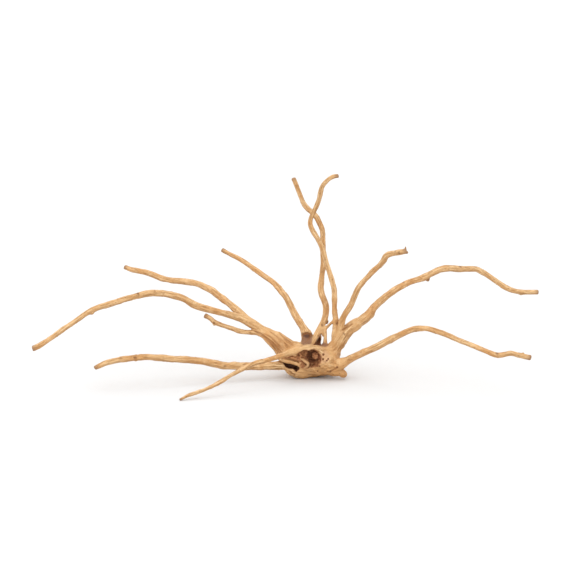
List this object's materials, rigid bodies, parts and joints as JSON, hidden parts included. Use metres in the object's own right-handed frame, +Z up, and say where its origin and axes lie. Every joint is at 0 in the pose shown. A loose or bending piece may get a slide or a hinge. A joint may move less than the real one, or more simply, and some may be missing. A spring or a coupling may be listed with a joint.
{
  "type": "spiderwood root",
  "caption": "Debarked aquarium driftwood root: a small hollowed stump from which long, thin, kinked roots spread and rise in all directions.",
  "frame": {"origin": "on the small flat spot that the stump rests on, below the middle of the stump", "axes": "+Z up, away from the surface it rests on; +X to the right of the front view, along the longest spread of the roots; the hollowed front of the stump faces -Y"},
  "size_m": [0.4494, 0.1593, 0.1833],
  "materials": {
    "bare_wood": "dry, debarked, fine lengthwise grain, satin to matt"
  },
  "bodies": {
    "root": {"spiderwood_root": "bare_wood"}
  },
  "joints": []
}
